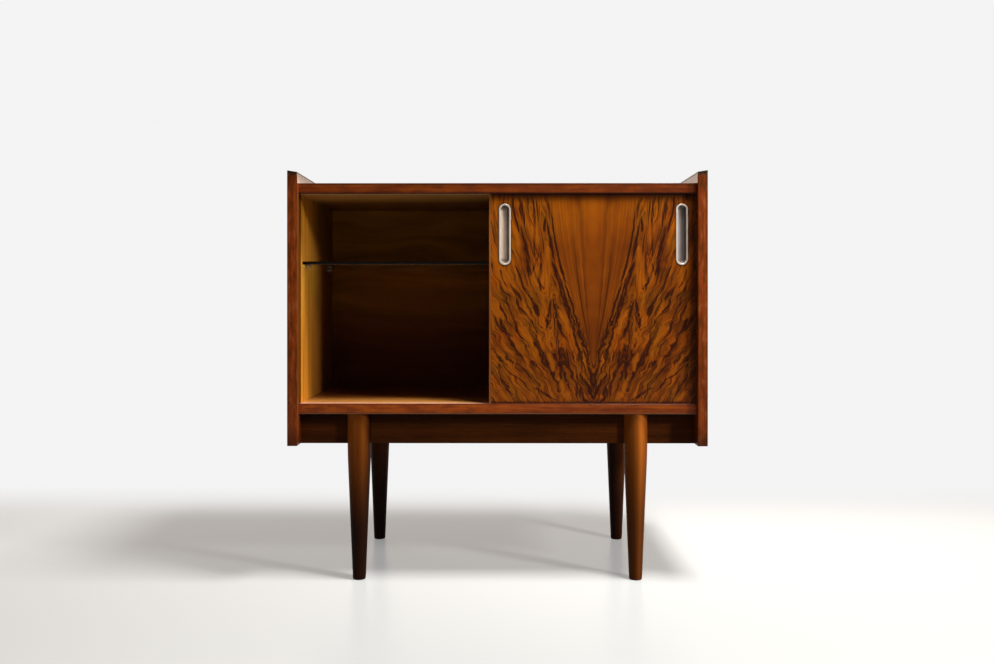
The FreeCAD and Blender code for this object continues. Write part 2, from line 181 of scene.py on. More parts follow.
def srgb(red, green, blue):
    # display values of 0 to 255 as linear light: ((v + 0.055) / 1.055) to the power 2.4
    shares = [value / 255 for value in (red, green, blue)]
    linear = [((s + 0.055) / 1.055) ** 2.4 if s > 0.04045 else s / 12.92 for s in shares]
    return (*linear, 1.0)


def startMaterial(name):
    # an empty material and the three Object coordinates, in millimetres
    material = bpy.data.materials.new(name)
    material.use_nodes = True
    material.node_tree.nodes.clear()
    paint = Shade(material.node_tree, material=material)
    place = paint.node("ShaderNodeTexCoord", out="Object")
    metres = paint.node("ShaderNodeSeparateXYZ", {0: place}, out=(0, 1, 2))
    return paint, [value * perMetre for value in metres]


# Places that the finishes follow, in millimetres, read from the frame

def millimetres(node):
    # the lower and the upper corner of a node's box
    return [[value * perMetre for value in corner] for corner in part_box(node)]


def middleAndHalf(node, axis):
    # the middle of a node's box along one axis (0, 1 or 2), and half its size there
    low, high = [corner[axis] for corner in millimetres(node)]
    return (low + high) / 2, (high - low) / 2


doorPlay = 0.4  # of the doors in their grooves
bottomLow, bottomHigh = millimetres("bottom_panel")
topLow, topHigh = millimetres("top_panel")
floorUnder, floorTop, innerWall = bottomLow[2], bottomHigh[2], bottomHigh[0]
ceilingUnder, topUpper = topLow[2], topHigh[2]
outerWall = millimetres("right_side_panel")[1][0]
sideFoot = millimetres("left_side_panel")[0][2]
cabinetFront = millimetres("left_front_stile")[0][1]
stripUnder, stripTop = [corner[2] for corner in millimetres("left_side_top_lipping")]
channelFront = millimetres("bottom_track_rail")[0][1]
channelBack = millimetres("left_door_panel")[1][1] + doorPlay


# Wood in general; pairs are how often a pattern changes along and across the grain, per millimetre

grain = {"waver": (0.004, 0.012), "pores": (0.06, 1.9), "poreEdge": (0.6, 0.74), "stops": (0.28, 0.5, 0.72),
         "streakHeight": 0.4, "depth": 0.0004, "bandDetail": (2.0, 0.55), "streakDetail": (3.0, 0.6)}
outerWalnut = {
    "dark": srgb(66, 22, 4), "middle": srgb(128, 54, 14), "light": srgb(160, 78, 26), "pore": srgb(38, 12, 2),
    "waver": 30.0, "bands": (0.0035, 0.06), "streaks": (0.01, 0.55), "bandShare": 0.55, "poreShare": 0.5,
    "roughness": 0.42, "uneven": 0.25, "gloss": 0.1, "bump": 0.25,
    "coat": 0.3, "coatRoughness": 0.16, "coatIor": 1.3,
}


def toned(base, dark, middle, light, **changes):
    # the base's grain with three tones of its own, and what else differs
    return dict(base, dark=srgb(*dark), middle=srgb(*middle), light=srgb(*light), **changes)


edgeWalnut = toned(outerWalnut, (72, 24, 4), (130, 54, 12), (160, 76, 22), bands=(0.0035, 0.12), waver=12.0)


def woodTone(paint, along, across, through, look):
    # bands and streaks are noise drawn out along the grain and bent sideways by slower noise;
    # pores are the sparse peaks of a finer one; the sum of bands and streaks picks a colour on a ramp
    def drawnOut(sideways, scales, detail, roughness=0.5):
        # noise with one scale along the grain and another across it
        return paint.noise((along, sideways, through), (*scales, scales[1]), detail, roughness)

    waver = drawnOut(across, grain["waver"], softNoise) - noiseMean
    sideways = across + waver * look["waver"]
    bands = drawnOut(sideways, look["bands"], *grain["bandDetail"])
    streaks = drawnOut(sideways, look["streaks"], *grain["streakDetail"])
    pores = drawnOut(sideways, grain["pores"], softNoise).smooth(*grain["poreEdge"])
    tone = bands * look["bandShare"] + streaks * (1.0 - look["bandShare"])
    tints = [look[key] for key in ("dark", "middle", "light")]
    colour = (pores * look["poreShare"]).mix(tone.ramp(grain["stops"], tints), look["pore"])
    height = streaks * grain["streakHeight"] - pores
    return colour, height, streaks


def mottled(paint, colour, place, look):
    # patches of tints over a colour, where slow noise is high or low
    patches = paint.noise(place, look["patches"], brokenNoise)
    for tint, start, end, share in look["mottle"]:
        colour = patches.smooth(start, end, share).mix(colour, look[tint])
    return colour


def lacquered(paint, colour, height, streaks, look, coat=None):
    # satin lacquer over wood: a rough base, uneven with the streaks, under a thin smoother coat
    return paint.surfaced(paint.principled({
        "Base Color": colour,
        "Roughness": look["roughness"] + (streaks - noiseMean) * look["uneven"],
        "Specular IOR Level": look["gloss"],
        "Coat Weight": look["coat"] if coat is None else coat,
        "Coat Roughness": look["coatRoughness"],
        "Coat IOR": look["coatIor"],
        "Normal": paint.relief(height, look["bump"], grain["depth"]),
    }))


def plainWood(name, axis, look):
    # one wood all over, with its grain along the given axis (0, 1 or 2)
    paint, place = startMaterial(name)
    along, across, through = place[axis], place[(axis + 1) % 3], place[(axis + 2) % 3]
    colour, height, streaks = woodTone(paint, along, across, through, look)
    return lacquered(paint, colour, height, streaks, look)


# Pale veneer inside; painted shade darkens it from the first to the second of its shade depths

innerVeneer = {
    "dark": srgb(164, 90, 18), "middle": srgb(212, 135, 38), "light": srgb(242, 174, 72),
    "pore": srgb(146, 80, 24), "shade": srgb(142, 84, 30), "shadeDepth": (-130.0, 40.0),
    "waver": 20.0, "bands": (0.003, 0.055), "streaks": (0.008, 0.4), "bandShare": 0.7, "poreShare": 0.35,
    "roughness": 0.48, "uneven": 0.25, "gloss": 0.2, "bump": 0.2,
    "coat": 0.1, "coatRoughness": 0.25, "coatIor": 1.3,
}
# the ceiling's veneer is a lighter copy, painted light on the face that looks down; the floor's is a darker
# copy, painted shade on the face that looks up
ceilingVeneer = toned(innerVeneer, (200, 132, 62), (236, 172, 90), (250, 198, 122),
                      shade=srgb(128, 72, 22), shadeDepth=(-150.0, 40.0))
floorVeneer = toned(innerVeneer, (150, 90, 34), (182, 118, 50), (204, 144, 74),
                    shade=srgb(112, 58, 16), shadeDepth=(-160.0, 0.0))
faceSkin = (0.5, 0.2)  # how deep a veneer reaches into its face
edgeBlend = 1.0  # how softly one finish meets the next


def innerTone(paint, along, across, through, y, look=innerVeneer):
    # the pale veneer with painted shade, darker away from the opening
    colour = woodTone(paint, along, across, through, look)[0]
    return y.smooth(*look["shadeDepth"]).mix(colour, look["shade"])


def inwardFace(x):
    # 1 on the faces of the two sides that look at each other
    return (abs(x) - innerWall).smooth(*faceSkin)


def inOpening(z):
    # 1 between the cabinet's floor and its ceiling
    return (z - floorTop).smooth(-edgeBlend, 0.0) * (ceilingUnder - z).smooth(-edgeBlend, 0.0)


def panelWood(name, innerSide, veneer):
    # walnut with its grain along the width; the face towards the inside has the pale veneer with painted
    # shade
    paint, (x, y, z) = startMaterial(name)
    outer, height, streaks = woodTone(paint, x, y, z, outerWalnut)
    inside = z.bell(innerSide, faceSkin[0])
    colour = inside.mix(outer, innerTone(paint, x, y, z, y, veneer))
    return lacquered(paint, colour, height, streaks, outerWalnut)


# Sides, their stiles and the strips on top of them

sideWalnut = dict(outerWalnut, coatIor=1.7, coat=0.05, gloss=0.06)
uprightWalnut = dict(edgeWalnut, coatIor=1.7, coat=0.06, gloss=0.05)
# painted reflection on the sides above the top: the right one painted lighter than the left; rubbed is a
# painted glare low down
raisedLook = {"left": srgb(112, 80, 60), "right": srgb(160, 126, 102), "foot": srgb(200, 160, 134),
              "rubbed": (15.0, 0.0, 0.8), "coat": 0.85}
stileLook = dict(  # distances from an edge where a tone starts and is full, then its share
    uprightWalnut, line=srgb(40, 17, 5), brown=srgb(78, 42, 16), faded=srgb(164, 92, 58),
    land=srgb(98, 54, 12), groove=srgb(124, 72, 22), patches=(0.13, 0.13, 0.035),
    mottle=[("brown", 0.5, 0.64, 0.6), ("faded", 0.48, 0.34, 0.4)],
    face=(1.0, 0.4), nearFace=(5.0, 1.0), outerLine=(3.2, 1.0, 0.8), innerLine=(1.2, 1.6, 0.5),
    foot=(60.0, 0.0, 0.65), head=(50.0, 0.0, 0.45), landDepth=(2.0, 4.0), landShare=0.9,
    grooveDepth=(6.0, 5.0), grooveBlend=0.3)
stripLook = dict(
    uprightWalnut, line=srgb(40, 17, 5), speck=srgb(92, 70, 50), top=srgb(44, 28, 18),
    specks=(0.5, 0.2, 0.5), speckEdge=(0.45, 0.65), face=(1.5, 0.5), inner=(1.5, 0.5), topEdge=(6.5, 4.0),
    topShare=0.85, topDull=0.9)


def raisedTone(x, z):
    # a side above the top, pale pinkish as a painted reflection: the left painted darker than the right, a
    # painted glare low down
    tone = x.smooth(-edgeBlend, edgeBlend).mix(raisedLook["left"], raisedLook["right"])
    return (z - topUpper).smooth(*raisedLook["rubbed"]).mix(tone, raisedLook["foot"])


def sideWood(name):
    # walnut outside; pale veneer with painted shade on the inner face between the floor and the ceiling;
    # above, thicker lacquer and a painted reflection
    paint, (x, y, z) = startMaterial(name)
    outer, height, streaks = woodTone(paint, z, y, x, sideWalnut)
    innerFace = inwardFace(x)
    colour = (innerFace * inOpening(z)).mix(outer, innerTone(paint, z, y, x, y))
    raised = innerFace * (z - topUpper).smooth(-edgeBlend, 0.0)
    colour = raised.mix(colour, raisedTone(x, z))
    coat = sideWalnut["coat"] + raised * raisedLook["coat"]
    return lacquered(paint, colour, height, streaks, sideWalnut, coat)


def stileWood(name):
    # mottled, dark along its outer and inner arris and at both ends; in the channel of the doors a lighter
    # colour, painted light in the recess; pale veneer with painted shade behind it
    paint, (x, y, z) = startMaterial(name)
    look = stileLook
    colour, height, streaks = woodTone(paint, z, y, x, look)
    colour = mottled(paint, colour, (x, y, z), look)
    depth = y - cabinetFront
    outerLine = (outerWall - abs(x)).smooth(*look["outerLine"]) * depth.smooth(*look["nearFace"])
    innerLine = (abs(x) - innerWall).bell(*look["innerLine"]) * depth.smooth(*look["face"])
    ends = (z - sideFoot).smooth(*look["foot"]) + (stripUnder - z).smooth(*look["head"])
    colour = outerLine.most(innerLine).most(ends).mix(colour, look["line"])
    innerFace = inwardFace(x)
    opening = inOpening(z)
    land = innerFace * depth.smooth(*look["landDepth"])
    colour = (land * opening * look["landShare"]).mix(colour, look["land"])
    # the channel's colour is painted light, brighter than the recess would show under the lamps
    sunk = (1.0 - innerFace) * (abs(x) - innerWall).smooth(*look["grooveDepth"])
    groove = (y - channelFront).smooth(-look["grooveBlend"], 0.0) * sunk * opening
    colour = groove.mix(colour, look["groove"])
    behind = (y - channelBack).smooth(-look["grooveBlend"], 0.0) * innerFace * opening
    colour = behind.mix(colour, innerTone(paint, z, y, x, y))
    raised = land * (z - topUpper).smooth(-edgeBlend, 0.0)
    colour = raised.mix(colour, raisedTone(x, z))
    return lacquered(paint, colour, height, streaks, look, look["coat"] + raised * raisedLook["coat"])


def stripWood(name):
    # strip on top of a side: speckled end grain at the front, dark along its top edges, a painted reflection
    # inside
    paint, (x, y, z) = startMaterial(name)
    look = stripLook
    colour, height, streaks = woodTone(paint, y, x, z, look)
    speck = paint.noise((x, y, z), look["specks"]).smooth(*look["speckEdge"])
    face = (y - cabinetFront).smooth(*look["face"])
    colour = face.mix(colour, speck.mix(look["line"], look["speck"]))
    inner = (abs(x) - innerWall).smooth(*look["inner"]) * (1.0 - face)
    colour = inner.mix(colour, raisedTone(x, z))
    top = (stripTop - z).smooth(*look["topEdge"])
    colour = (top * look["topShare"]).mix(colour, look["top"])
    coat = (look["coat"] + inner * raisedLook["coat"]) * (1.0 - top * look["topDull"])
    return lacquered(paint, colour, height, streaks, look, coat)


# Front lippings, door lippings, aprons, rails and back

topEdge = toned(
    edgeWalnut, (58, 18, 3), (112, 46, 10), (142, 66, 18), flame=srgb(154, 70, 4), lowLine=srgb(46, 15, 3),
    highLine=srgb(64, 30, 9), board=(-100.0, innerWall, 0.06), patches=(0.03, 0.2, 0.1),
    mottle=[("dark", 0.5, 0.64, 0.25), ("flame", 0.5, 0.36, 0.25)],
    lowShade=(10.0, 3.0, 0.15), lowReach=(3.4, 1.2, 0.75), highReach=(5.4, 1.8, 0.75))
bottomEdge = toned(
    topEdge, (88, 32, 4), (156, 68, 13), (188, 94, 24), flame=srgb(190, 92, 4), lowLine=srgb(196, 132, 92),
    highLine=srgb(64, 20, 2), board=(-100.0, innerWall, 0.36),
    mottle=[("dark", 0.5, 0.64, 0.4), ("flame", 0.5, 0.36, 0.4)],
    lowShade=(10.0, 3.0, 0.35), highReach=(2.6, 0.87, 0.75))
lippingWood = toned(outerWalnut, (100, 50, 16), (146, 82, 32), (176, 110, 54), pore=srgb(66, 32, 10))
# the apron's dark stain, and painted shade under the bottom panel, more towards the left
apronStain = toned(outerWalnut, (44, 19, 3), (78, 37, 8), (102, 50, 12), pore=srgb(20, 8, 2), gloss=0.04,
                   coat=0.0, shade=srgb(24, 9, 2), shadeDepth=(34.0, 0.0, 0.5), leftShade=0.8)
hardwood = toned(innerVeneer, (190, 138, 106), (214, 166, 134), (230, 186, 156), pore=srgb(156, 102, 64),
                 coat=0.05, outerSkin=1.0)
paleHardwood = toned(hardwood, (214, 160, 112), (236, 188, 138), (246, 206, 160))
backWood = toned(innerVeneer, (118, 68, 10), (140, 84, 15), (158, 98, 22), pore=srgb(104, 58, 10), gloss=0.05,
                 coat=0.0, bands=(0.003, 0.03), bandShare=0.8, waver=90.0, shade=srgb(70, 24, 8),
                 shadeHeight=(600.0, 410.0, 0.9), skin=(0.3, 0.8))
backRear = toned(innerVeneer, (128, 84, 46), (160, 112, 68), (184, 138, 92), pore=srgb(104, 66, 36))


def edgeWood(name, node, look):
    # front lipping with its grain along the width, mottled, with painted shade towards the right and low
    # down; its lower and upper arris are thin lines of their own, the bottom lipping's lower one a painted
    # highlight
    paint, (x, y, z) = startMaterial(name)
    low, high = millimetres(node)
    colour, height, streaks = woodTone(paint, x, y, z, look)
    colour = mottled(paint, colour, (x, y, z), look)
    # painted shade towards the right, then painted shade low down
    colour = x.smooth(*look["board"]).mix(colour, look["dark"])
    colour = (z - low[2]).smooth(*look["lowShade"]).mix(colour, look["dark"])
    # on the bottom lipping the pale lower arris line is a painted highlight
    colour = (z - low[2]).smooth(*look["lowReach"]).mix(colour, look["lowLine"])
    colour = (high[2] - z).smooth(*look["highReach"]).mix(colour, look["highLine"])
    return lacquered(paint, colour, height, streaks, look)


def apronWood(name):
    # dark stain with its grain along the width, with painted shade under the bottom panel and towards the
    # left
    paint, (x, y, z) = startMaterial(name)
    look = apronStain
    colour, height, streaks = woodTone(paint, x, y, z, look)
    left = x.smooth(0.0, -innerWall, look["leftShade"])
    thick = (floorUnder - z).smooth(*look["shadeDepth"]) * (1.0 + left)
    return lacquered(paint, thick.mix(colour, look["shade"]), height, streaks, look)


def railWood(name, look, outerSide):
    # hardwood with its grain along the width; the face that shows outside has the walnut veneer of its panel
    paint, (x, y, z) = startMaterial(name)
    colour, height, streaks = woodTone(paint, x, y, z, look)
    outer = woodTone(paint, x, y, z, outerWalnut)[0]
    return lacquered(paint, z.bell(outerSide, look["outerSkin"]).mix(colour, outer), height, streaks, look)


def backWoods(name):
    # stained face inside, with painted shade low down; plain board behind
    paint, (x, y, z) = startMaterial(name)
    look = backWood
    face = millimetres("back_panel")[0][1]
    inner, height, streaks = woodTone(paint, x, z, y, look)
    inner = z.smooth(*look["shadeHeight"]).mix(inner, look["shade"])
    rear = woodTone(paint, x, z, y, backRear)[0]
    behind = (y - face).smooth(*look["skin"])
    return lacquered(paint, behind.mix(inner, rear), height, streaks, look)


# Figured veneer of the doors

doorFigure = {
    "base": srgb(142, 68, 4), "light": srgb(170, 88, 5), "red": srgb(116, 52, 4), "olive": srgb(126, 74, 8),
    "orange": srgb(172, 80, 2), "streak": srgb(44, 12, 2), "deep": srgb(28, 8, 1),
    "roughness": 0.44, "uneven": 0.08, "gloss": 0.08, "bump": 0.2,
    "coat": 0.2, "coatRoughness": 0.16, "coatIor": 1.3,
    "halfWidth": 210.0, "boldness": 1.25, "darkest": 0.95, "unbroken": 0.5, "cleared": 0.8,
}
figureShape = {  # the V: its height, how it leans, spreads and folds; lengths in millimetres
    "height": 345.0, "lower": (0.25, 0.85), "lean": 96.0, "leanPower": 1.5, "spread": 0.5, "spreadPower": 2.5,
    "edge": (76.0, 96.0), "edgeWobble": 10.0, "mouth": 90.0, "throat": 7.0,
    "foldHeight": 700.0, "foldSlope": 0.15, "fold": (118.0, 96.0, 52.0),
}
figureNoises = {  # how often it changes across and along the figure, its own slice of the noise, its detail
    "wobble": (0.03, 0.018, 3.0, 2.0), "ripple": (0.026, 0.048, 9.0, 1.0), "jitter": (0.08, 0.07, 4.0, 2.0),
    "broad": (0.075, 0.011, 1.0, 1.0), "fine": (0.2, 0.016, 5.0, 2.0), "hair": (0.6, 0.02, 6.0, 1.0),
    "fleck": (0.14, 0.045, 2.0, 1.0), "vein": (0.055, 0.004, 11.0, 1.0), "veinShare": (0.04, 0.02, 12.0, 1.0),
    "still": (9.0, 0.002, 8.0, 2.0), "threads": (24.0, 0.003, 15.0, 2.0),
    "patch": (0.02, 0.012, 7.0, 2.0), "hue": (0.03, 0.025, 14.0, 2.0),
}
figureDepths = {  # where a noise or a mask starts to tell, where it is full, and its share
    "broad": (0.46, 0.6, 0.2), "fine": (0.5, 0.56, 0.4), "hair": (0.5, 0.58, 0.24),
    "fleck": (0.5, 0.62, 0.25), "vein": (0.05, 0.01, 0.6), "veinShare": (0.36, 0.56),
    "heavy": (150.0, 90.0, 0.5), "drawn": (0.12, 0.5), "broken": (0.4, 0.52, 0.7),
    "still": (0.45, 0.65, 0.5), "threads": (0.46, 0.62, 0.35), "fan": (0.02, 0.4),
    "paler": (0.5, 0.4, 0.6), "olive": (0.52, 0.64, 0.4), "orange": (0.48, 0.36, 0.6),
}
groundTone = {"start": 0.575, "fall": 0.34, "outerFall": 0.14, "outer": 0.09, "across": 0.14, "calm": 0.5,
              "stops": (0.34, 0.5, 0.68)}
lineBend = {"wobble": (16.0, 0.0), "ripple": (4.0, 26.0), "jitter": (2.0, 11.0)}  # everywhere, more low down
streakBend = {"wobble": (4.0, 0.0), "jitter": (2.0, 7.0)}
streakLift = {"ripple": (0.0, 8.0)}
fanStiffness = {"still": 9.0, "threads": 12.0}
# painted shadow under the top, along the edge in the stile and at the foot; then the dark outline round the
# pulls
doorWear = {"top": (14.0, 3.0, 0.85), "edge": (18.0, 6.0, 0.6), "foot": (7.0, 1.0, 0.8),
            "pull": (4.0, 0.0, 0.75)}
doorPores = {"scales": (1.9, 1.9, 0.08), "edge": (0.6, 0.75), "share": 0.25, "lineHeight": 0.4}
# One half of the streaks; the other is its mirror image. Width and strength of a streak, then its line from
# the bottom to the top as (distance from the seam, height above the cabinet's floor).
darkStreaks = [
    (6.5, 1.0, [(0, 26), (6, 62), (12, 88), (22, 118), (38, 153), (49, 180), (64, 234), (76, 269), (84, 320),
                (94, 360)]),
    (3.0, 0.9, [(1, 70), (13, 110), (29, 150), (41, 190), (54, 230), (64, 270), (76, 330), (81, 390)]),
    (7.0, 0.8, [(92, 312), (92, 335), (93, 356)]),
    (5.0, 0.8, [(100, 216), (103, 240), (99, 262), (102, 292)]),
    (6.5, 0.9, [(118, 245), (125, 275), (132, 302), (140, 329), (151, 358)]),
    (3.0, 0.8, [(118, 245), (113, 264), (106, 282)]),
    (3.0, 0.8, [(113, 277), (113, 353), (114, 392)]),
    (3.0, 0.9, [(145, 345), (153, 372), (154, 396)]),
    (3.0, 0.7, [(132, 337), (133, 380)]),
    (3.5, 0.6, [(163, 221), (174, 240), (178, 260)]),
    (4.0, 0.7, [(124, 206), (133, 221), (141, 245), (151, 266)]),
    (5.5, 0.9, [(105, 167), (110, 178), (114, 194), (124, 210)]),
    (3.0, 0.7, [(103, 168), (107, 183), (113, 207)]),
    (3.5, 0.8, [(106, 129), (114, 148), (125, 167), (143, 186), (149, 207), (160, 231)]),
    (4.0, 0.8, [(128, 119), (143, 134), (152, 161), (163, 186), (176, 202)]),
    (7.0, 0.8, [(133, 91), (152, 107), (165, 126), (174, 148), (180, 167)]),
    (3.5, 0.7, [(120, 48), (136, 69), (163, 86), (179, 103), (198, 102)]),
    (7.0, 0.9, [(108, 68), (113, 76), (119, 84)]),
    (6.0, 0.8, [(155, 15), (165, 32), (175, 50), (180, 78)]),
    (4.0, 0.6, [(106, 18), (122, 24), (138, 45), (157, 56), (174, 78)]),
    (5.0, 0.8, [(91, 140), (87, 158), (84, 183), (80, 203)]),
    (3.5, 0.8, [(51, 128), (60, 137), (67, 156), (72, 180), (79, 202)]),
    (3.0, 0.5, [(71, 113), (74, 148), (76, 177)]),
    (2.6, 0.8, [(64, 72), (66, 99), (70, 130)]),
    (3.0, 0.8, [(48, 61), (49, 96), (54, 126)]),
    (3.5, 0.7, [(17, 56), (24, 83), (30, 110), (41, 137)]),
    (4.2, 0.9, [(45, 24), (52, 45), (60, 67), (71, 83), (76, 102), (84, 121)]),
    (5.0, 0.8, [(74, 45), (82, 64), (93, 88), (101, 105)]),
    (8.0, 0.8, [(68, 5), (90, 16), (111, 32)]),
    (7.0, 0.9, [(3, 10), (2, 34), (4, 70)]),
    (5.0, 0.8, [(5, 15), (9, 29), (17, 48)]),
    (3.5, 0.6, [(35, 15), (30, 42), (36, 69)]),
]
lightStreaks = [
    (12.0, 0.8, [(90, 215), (87, 256), (87, 304)]),
    (9.0, 0.9, [(47, 134), (52, 148), (66, 183)]),
    (8.0, 0.7, [(112, 82), (116, 96), (122, 110)]),
    (8.0, 0.9, [(78, 62), (80, 78), (84, 98)]),
    (9.0, 0.7, [(148, 54), (156, 66), (160, 78)]),
    (7.0, 0.8, [(55, 12), (60, 30), (66, 50)]),
    (13.0, 0.7, [(156, 2), (166, 12), (178, 26)]),
    (6.0, 0.7, [(95, 150), (95, 180), (97, 214)]),
    (7.0, 0.6, [(116, 116), (124, 130), (134, 150)]),
    (7.0, 0.6, [(120, 158), (132, 182), (148, 208)]),
    (14.0, 0.7, [(172, 160), (186, 176), (196, 196)]),
]


def figureNoise(paint, name, across, along):
    # the noise of that name, drawn out along the figure
    acrossScale, alongScale, level, detail = figureNoises[name]
    return paint.noise((across, along, level), (acrossScale, alongScale, 1.0), detail)


def streakMask(paint, u, height, streaks):
    # the strongest of the streaks: each is 1 on its line, falls to 0 at its width, and thins out at its ends
    reach = doorFigure["halfWidth"]
    strongest = 0.0
    for width, strength, line in streaks:
        low, high = line[0][1], line[-1][1]
        share = paint.node("ShaderNodeMapRange", {"Value": height, "From Min": low, "From Max": high})
        centre = share.curve([((z - low) / (high - low), aside / reach) for aside, z in line])
        taper = (share * (1.0 - share) * 4.0) ** 0.5 * (width * doorFigure["boldness"])
        mask = abs(u - centre * reach).smooth(taper, 0.0, strength)
        strongest = mask.most(strongest)
    return strongest


def swayed(f, amounts):
    # the sum of the bending noises, each by its amount everywhere and its further amount low down
    total = 0.0
    for name, (everywhere, lowDown) in amounts.items():
        total = f.sway[name] * (everywhere + f.lower * lowDown) + total
    return total


def figureField(paint, x, z, seam):
    # u is the distance from the seam; the lines follow rings, which are u plus a lean that grows downwards,
    # spread at the foot, folded once between the V and its peak, and bent; inside the V they follow a fan
    shape = figureShape
    f = SimpleNamespace(u=abs(x - seam), height=z - floorTop)
    f.drop = ((ceilingUnder - z) / shape["height"]).most(0.0)
    f.lower = f.drop.smooth(*shape["lower"])
    places = {"wobble": f.u, "ripple": f.u, "jitter": x}  # the finest isn't mirrored
    f.sway = {name: figureNoise(paint, name, place, z) - noiseMean for name, place in places.items()}
    lean = f.drop ** shape["leanPower"] * shape["lean"]
    f.cone = f.u + lean
    f.fan = f.u / (shape["mouth"] - lean).most(shape["throat"])
    f.outside = (f.cone + f.sway["wobble"] * shape["edgeWobble"]).smooth(*shape["edge"])
    spread = f.u * f.drop ** shape["spreadPower"] * shape["spread"]
    fold = (f.u + (shape["foldHeight"] - z) * shape["foldSlope"]).smooth(*shape["fold"])
    f.rings = f.cone + spread + fold + swayed(f, lineBend)
    return f


def figureDark(paint, f, z):
    # outside the V the darker of two things: the sum of the lines along the rings, and the drawn streaks,
    # which the fine lines break up; inside it the still fan with its threads; light streaks clear both away
    depths = figureDepths
    names = ("broad", "fine", "hair", "fleck", "vein", "veinShare")
    f.noise = {name: figureNoise(paint, name, f.rings, z) for name in names}
    lines = f.noise["fleck"].smooth(*depths["fleck"]) * f.lower
    for name in ("broad", "fine", "hair"):
        lines = lines + f.noise[name].smooth(*depths[name])
    veins = abs(f.noise["vein"] - noiseMean).smooth(*depths["vein"])
    lines = lines + veins * f.noise["veinShare"].smooth(*depths["veinShare"])
    heavy = f.outside * (1.0 + f.cone.smooth(*depths["heavy"]) * f.lower)
    bentU = f.u + swayed(f, streakBend)
    bentHeight = f.height + swayed(f, streakLift)
    f.tongues = streakMask(paint, bentU, bentHeight, lightStreaks)
    drawn = streakMask(paint, bentU, bentHeight, darkStreaks).smooth(*depths["drawn"])
    drawn = drawn * (doorFigure["unbroken"] + f.noise["fine"].smooth(*depths["broken"]))
    calm = 0.0
    for name, stiffness in fanStiffness.items():
        bent = f.fan + f.sway["wobble"] / stiffness
        calm = figureNoise(paint, name, bent, z).smooth(*depths[name]) + calm
    calm = calm * f.fan.smooth(*depths["fan"]) * (1.0 - f.outside)
    dark = (lines * heavy).most(drawn) + calm
    return (dark * (1.0 - f.tongues * doorFigure["cleared"])).least(1.0)


def figureGround(paint, f, x, z, seam):
    # the colour between the lines: deeper downwards, and darker towards the right as painted shade; patchy
    # outside the V, with paler, olive and orange stretches there, and the light streaks
    look, tone = doorFigure, groundTone
    patch = figureNoise(paint, "patch", f.u, z) - noiseMean
    patch = patch * (tone["calm"] + f.outside * (1.0 - tone["calm"]))
    fall = f.drop * (tone["fall"] - f.outside * tone["outerFall"])
    # painted shade: darker towards the right
    sheet = (x - seam) / look["halfWidth"] * tone["across"]
    place = patch + tone["start"] - fall + f.outside * tone["outer"] - sheet
    tints = [look[key] for key in ("red", "base", "light")]
    ground = place.ramp(tone["stops"], tints)
    hue = figureNoise(paint, "hue", f.u, z)
    stretches = (("paler", f.noise["broad"], "light"), ("olive", hue, "olive"), ("orange", hue, "orange"))
    for name, noise, tint in stretches:
        ground = (noise.smooth(*figureDepths[name]) * f.outside).mix(ground, look[tint])
    return f.tongues.mix(ground, look["light"])


def wornEdges(f, x, z, body):
    # painted shadow under the top, at the foot and along the edge that stands in the stile
    low, high = millimetres(body + "_panel")
    edge = high[0] - x if body == "right_door" else x - low[0]
    worn = (ceilingUnder - z).smooth(*doorWear["top"])
    worn = worn.most(edge.smooth(*doorWear["edge"]))
    return worn.most(f.height.smooth(*doorWear["foot"]))


def aroundPulls(f, z, body, seam):
    # dark close to the oblong outline of a pull: the distance from its spine less its half width
    middle, reach = middleAndHalf(body + "_pull_right", 0)
    level, half = middleAndHalf(body + "_pull_right", 2)
    beside = abs(f.u - middle + seam)
    beyond = (abs(z - level) - half + reach).most(0.0)
    outline = (beside ** 2.0 + beyond ** 2.0) ** 0.5 - reach
    return outline.smooth(*doorWear["pull"])


def figuredVeneer(body):
    # book-matched about the middle of the door: dark figure over its ground, painted shadows at its edges,
    # a dark outline round the pulls, pores, lacquer
    paint, (x, y, z) = startMaterial(body + "_veneer")
    look = doorFigure
    seam = middleAndHalf(body + "_panel", 0)[0]
    f = figureField(paint, x, z, seam)
    dark = figureDark(paint, f, z)
    colour = (dark * look["darkest"]).mix(figureGround(paint, f, x, z, seam), look["streak"])
    colour = wornEdges(f, x, z, body).mix(colour, look["streak"])
    colour = aroundPulls(f, z, body, seam).mix(colour, look["deep"])
    pores = paint.noise((f.u, y, z), doorPores["scales"], softNoise).smooth(*doorPores["edge"])
    colour = (pores * doorPores["share"]).mix(colour, look["deep"])
    return lacquered(paint, colour, f.noise["fine"] * doorPores["lineHeight"] - pores, dark, look)


# Metal and glass

metalLook = {
    # the rim's colour is a painted highlight; the right cup is a darker copy of the left one, painted shade
    "rim": srgb(230, 214, 196), "leftCup": srgb(204, 182, 162), "rightCup": srgb(186, 172, 168),
    "tarnish": srgb(64, 54, 46), "rimMetal": 0.3, "cupMetal": 0.45, "rimRoughness": 0.28,
    "cupRoughness": 0.42, "left": (3.0, 7.5, 0.8), "right": (-7.0, 5.0, 0.8),
    "ends": (-16.0, -6.0, 0.8), "ragged": 3.0, "uneven": 0.25, "bump": 0.08, "depth": 0.0003,
    "rimEdge": (0.4, -0.1), "rubbed": (0.3, 0.7, 0.3), "brush": (2.5, 2.5, 0.05),
    "patch": (0.08, 0.08, 0.04),
}
glassLook = {
    "body": srgb(214, 236, 224), "edge": srgb(14, 24, 18), "ground": srgb(84, 70, 56),
    "through": srgb(226, 238, 230), "front": (0.5, 0.2), "arris": (1.0, 0.5),
    "smears": (0.02, 0.02, 1.0), "smear": (0.4, 0.8, 0.06), "ior": 1.5, "groundRoughness": 0.5,
}
steelLook = {"dull": srgb(150, 132, 106), "bright": srgb(196, 180, 152), "grain": (0.4, 0.4, 0.4),
             "roughness": 0.2, "bump": 0.1, "depth": 0.0002}


